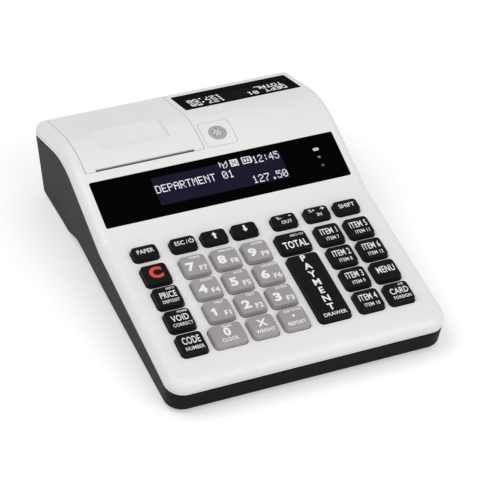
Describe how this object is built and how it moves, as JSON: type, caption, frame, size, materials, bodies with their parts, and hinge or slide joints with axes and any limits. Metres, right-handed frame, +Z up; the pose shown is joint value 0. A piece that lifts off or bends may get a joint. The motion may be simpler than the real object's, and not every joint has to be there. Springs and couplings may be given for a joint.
{
  "type": "cash register",
  "caption": "Portable ticket register with a sloping keypad, a cashier's screen, a customer screen and a covered paper printer.",
  "frame": {"origin": "on the table under the middle of the register's box", "axes": "+X to the cashier's right, +Y to the back, +Z up"},
  "size_m": [0.1604, 0.214, 0.0571],
  "materials": {
    "casing_white": "satin moulded",
    "base_charcoal": "fine matte grain",
    "window_smoked": "gloss",
    "display_glass": "gloss",
    "light_pipe": "clear moulded",
    "steel": "bright",
    "rubber_black": "matte",
    "rubber_grey": "matte",
    "gear_plastic": "satin",
    "motor_steel": "drawn can",
    "heat_sink": "milled",
    "frame_plastic": "fine matte grain",
    "thermal_paper": "smooth",
    "board_green": "solder mask",
    "socket_plastic": "satin",
    "battery_wrap": "shrink wrap",
    "seal_silver": "satin",
    "key_black": "satin",
    "key_grey": "satin"
  },
  "bodies": {
    "body": {"top_casing": "casing_white", "base_shell": "base_charcoal", "operator_window": "window_smoked", "customer_window": "window_smoked", "operator_display": "display_glass", "customer_display": "display_glass", "status_lights": "light_pipe", "tear_blade": "steel", "feed_motor": "motor_steel", "print_head": "heat_sink", "printer_frame": "frame_plastic", "cover_hinge_pin": "steel", "key_mat": "rubber_grey", "circuit_boards": "board_green", "rear_sockets": "socket_plastic", "battery_pack": "battery_wrap", "battery_door": "base_charcoal", "rubber_feet": "rubber_black", "casing_screws": "steel", "seal_plate": "seal_silver", "seal_plug": "seal_silver"},
    "cover": {"paper_cover": "casing_white"},
    "platen": {"platen_rubber": "rubber_black", "platen_shaft": "steel", "platen_gear": "gear_plastic"},
    "pinion": {"motor_pinion": "gear_plastic"},
    "roll": {"paper_roll": "thermal_paper"},
    "press_paper_feed": {"key_paper_feed": "key_black"},
    "press_exit": {"key_exit": "key_black"},
    "press_up": {"key_up": "key_black"},
    "press_down": {"key_down": "key_black"},
    "press_discount": {"key_discount": "key_black"},
    "press_surcharge": {"key_surcharge": "key_black"},
    "press_alternate": {"key_alternate": "key_black"},
    "press_clear": {"key_clear": "key_black"},
    "press_7": {"key_7": "key_grey"},
    "press_8": {"key_8": "key_grey"},
    "press_9": {"key_9": "key_grey"},
    "press_total": {"key_total": "key_black"},
    "press_item_1": {"key_item_1": "key_black"},
    "press_item_5": {"key_item_5": "key_black"},
    "press_price": {"key_price": "key_black"},
    "press_4": {"key_4": "key_grey"},
    "press_5": {"key_5": "key_grey"},
    "press_6": {"key_6": "key_grey"},
    "press_item_2": {"key_item_2": "key_black"},
    "press_item_6": {"key_item_6": "key_black"},
    "press_void": {"key_void": "key_black"},
    "press_1": {"key_1": "key_grey"},
    "press_2": {"key_2": "key_grey"},
    "press_3": {"key_3": "key_grey"},
    "press_item_3": {"key_item_3": "key_black"},
    "press_mode": {"key_mode": "key_black"},
    "press_code": {"key_code": "key_black"},
    "press_0": {"key_0": "key_grey"},
    "press_multiply": {"key_multiply": "key_grey"},
    "press_point": {"key_point": "key_grey"},
    "press_cash": {"key_cash": "key_black"},
    "press_item_4": {"key_item_4": "key_black"},
    "press_card": {"key_card": "key_black"}
  },
  "joints": [
    {"name": "cover_open", "type": "hinge", "parent": "body", "child": "cover", "pos_m": [0, 0.10115, 0.04216], "axis": [-1, 0, 0], "range_deg": [0, 95]},
    {"name": "platen_spin", "type": "hinge", "parent": "cover", "child": "platen", "pos_m": [0, 0.04895, 0.045], "axis": [1, 0, 0], "continuous": true},
    {"name": "pinion_spin", "type": "hinge", "parent": "body", "child": "pinion", "pos_m": [0, 0.04895, 0.03565], "axis": [1, 0, 0], "continuous": true},
    {"name": "roll_spin", "type": "hinge", "parent": "body", "child": "roll", "pos_m": [0, 0.07584, 0.0224], "axis": [1, 0, 0], "continuous": true},
    {"name": "key_paper_feed_press", "type": "slide", "parent": "body", "child": "press_paper_feed", "axis": [0, 0.1392, -0.9903], "range_m": [0, 0.0015], "stiffness_N_per_m": 300, "springref_m": -0.0005},
    {"name": "key_exit_press", "type": "slide", "parent": "body", "child": "press_exit", "axis": [0, 0.1392, -0.9903], "range_m": [0, 0.0015], "stiffness_N_per_m": 300, "springref_m": -0.0005},
    {"name": "key_up_press", "type": "slide", "parent": "body", "child": "press_up", "axis": [0, 0.1392, -0.9903], "range_m": [0, 0.0015], "stiffness_N_per_m": 300, "springref_m": -0.0005},
    {"name": "key_down_press", "type": "slide", "parent": "body", "child": "press_down", "axis": [0, 0.1392, -0.9903], "range_m": [0, 0.0015], "stiffness_N_per_m": 300, "springref_m": -0.0005},
    {"name": "key_discount_press", "type": "slide", "parent": "body", "child": "press_discount", "axis": [0, 0.1392, -0.9903], "range_m": [0, 0.0015], "stiffness_N_per_m": 300, "springref_m": -0.0005},
    {"name": "key_surcharge_press", "type": "slide", "parent": "body", "child": "press_surcharge", "axis": [0, 0.1392, -0.9903], "range_m": [0, 0.0015], "stiffness_N_per_m": 300, "springref_m": -0.0005},
    {"name": "key_alternate_press", "type": "slide", "parent": "body", "child": "press_alternate", "axis": [0, 0.1392, -0.9903], "range_m": [0, 0.0015], "stiffness_N_per_m": 300, "springref_m": -0.0005},
    {"name": "key_clear_press", "type": "slide", "parent": "body", "child": "press_clear", "axis": [0, 0.1392, -0.9903], "range_m": [0, 0.0015], "stiffness_N_per_m": 300, "springref_m": -0.0005},
    {"name": "key_7_press", "type": "slide", "parent": "body", "child": "press_7", "axis": [0, 0.1392, -0.9903], "range_m": [0, 0.0015], "stiffness_N_per_m": 300, "springref_m": -0.0005},
    {"name": "key_8_press", "type": "slide", "parent": "body", "child": "press_8", "axis": [0, 0.1392, -0.9903], "range_m": [0, 0.0015], "stiffness_N_per_m": 300, "springref_m": -0.0005},
    {"name": "key_9_press", "type": "slide", "parent": "body", "child": "press_9", "axis": [0, 0.1392, -0.9903], "range_m": [0, 0.0015], "stiffness_N_per_m": 300, "springref_m": -0.0005},
    {"name": "key_total_press", "type": "slide", "parent": "body", "child": "press_total", "axis": [0, 0.1392, -0.9903], "range_m": [0, 0.0015], "stiffness_N_per_m": 300, "springref_m": -0.0005},
    {"name": "key_item_1_press", "type": "slide", "parent": "body", "child": "press_item_1", "axis": [0, 0.1392, -0.9903], "range_m": [0, 0.0015], "stiffness_N_per_m": 300, "springref_m": -0.0005},
    {"name": "key_item_5_press", "type": "slide", "parent": "body", "child": "press_item_5", "axis": [0, 0.1392, -0.9903], "range_m": [0, 0.0015], "stiffness_N_per_m": 300, "springref_m": -0.0005},
    {"name": "key_price_press", "type": "slide", "parent": "body", "child": "press_price", "axis": [0, 0.1392, -0.9903], "range_m": [0, 0.0015], "stiffness_N_per_m": 300, "springref_m": -0.0005},
    {"name": "key_4_press", "type": "slide", "parent": "body", "child": "press_4", "axis": [0, 0.1392, -0.9903], "range_m": [0, 0.0015], "stiffness_N_per_m": 300, "springref_m": -0.0005},
    {"name": "key_5_press", "type": "slide", "parent": "body", "child": "press_5", "axis": [0, 0.1392, -0.9903], "range_m": [0, 0.0015], "stiffness_N_per_m": 300, "springref_m": -0.0005},
    {"name": "key_6_press", "type": "slide", "parent": "body", "child": "press_6", "axis": [0, 0.1392, -0.9903], "range_m": [0, 0.0015], "stiffness_N_per_m": 300, "springref_m": -0.0005},
    {"name": "key_item_2_press", "type": "slide", "parent": "body", "child": "press_item_2", "axis": [0, 0.1392, -0.9903], "range_m": [0, 0.0015], "stiffness_N_per_m": 300, "springref_m": -0.0005},
    {"name": "key_item_6_press", "type": "slide", "parent": "body", "child": "press_item_6", "axis": [0, 0.1392, -0.9903], "range_m": [0, 0.0015], "stiffness_N_per_m": 300, "springref_m": -0.0005},
    {"name": "key_void_press", "type": "slide", "parent": "body", "child": "press_void", "axis": [0, 0.1392, -0.9903], "range_m": [0, 0.0015], "stiffness_N_per_m": 300, "springref_m": -0.0005},
    {"name": "key_1_press", "type": "slide", "parent": "body", "child": "press_1", "axis": [0, 0.1392, -0.9903], "range_m": [0, 0.0015], "stiffness_N_per_m": 300, "springref_m": -0.0005},
    {"name": "key_2_press", "type": "slide", "parent": "body", "child": "press_2", "axis": [0, 0.1392, -0.9903], "range_m": [0, 0.0015], "stiffness_N_per_m": 300, "springref_m": -0.0005},
    {"name": "key_3_press", "type": "slide", "parent": "body", "child": "press_3", "axis": [0, 0.1392, -0.9903], "range_m": [0, 0.0015], "stiffness_N_per_m": 300, "springref_m": -0.0005},
    {"name": "key_item_3_press", "type": "slide", "parent": "body", "child": "press_item_3", "axis": [0, 0.1392, -0.9903], "range_m": [0, 0.0015], "stiffness_N_per_m": 300, "springref_m": -0.0005},
    {"name": "key_mode_press", "type": "slide", "parent": "body", "child": "press_mode", "axis": [0, 0.1392, -0.9903], "range_m": [0, 0.0015], "stiffness_N_per_m": 300, "springref_m": -0.0005},
    {"name": "key_code_press", "type": "slide", "parent": "body", "child": "press_code", "axis": [0, 0.1392, -0.9903], "range_m": [0, 0.0015], "stiffness_N_per_m": 300, "springref_m": -0.0005},
    {"name": "key_0_press", "type": "slide", "parent": "body", "child": "press_0", "axis": [0, 0.1392, -0.9903], "range_m": [0, 0.0015], "stiffness_N_per_m": 300, "springref_m": -0.0005},
    {"name": "key_multiply_press", "type": "slide", "parent": "body", "child": "press_multiply", "axis": [0, 0.1392, -0.9903], "range_m": [0, 0.0015], "stiffness_N_per_m": 300, "springref_m": -0.0005},
    {"name": "key_point_press", "type": "slide", "parent": "body", "child": "press_point", "axis": [0, 0.1392, -0.9903], "range_m": [0, 0.0015], "stiffness_N_per_m": 300, "springref_m": -0.0005},
    {"name": "key_cash_press", "type": "slide", "parent": "body", "child": "press_cash", "axis": [0, 0.1392, -0.9903], "range_m": [0, 0.0015], "stiffness_N_per_m": 300, "springref_m": -0.0005},
    {"name": "key_item_4_press", "type": "slide", "parent": "body", "child": "press_item_4", "axis": [0, 0.1392, -0.9903], "range_m": [0, 0.0015], "stiffness_N_per_m": 300, "springref_m": -0.0005},
    {"name": "key_card_press", "type": "slide", "parent": "body", "child": "press_card", "axis": [0, 0.1392, -0.9903], "range_m": [0, 0.0015], "stiffness_N_per_m": 300, "springref_m": -0.0005}
  ],
  "couplings": [
    {"joint": "pinion_spin", "follows": "platen_spin", "ratio": -2.0833}
  ]
}
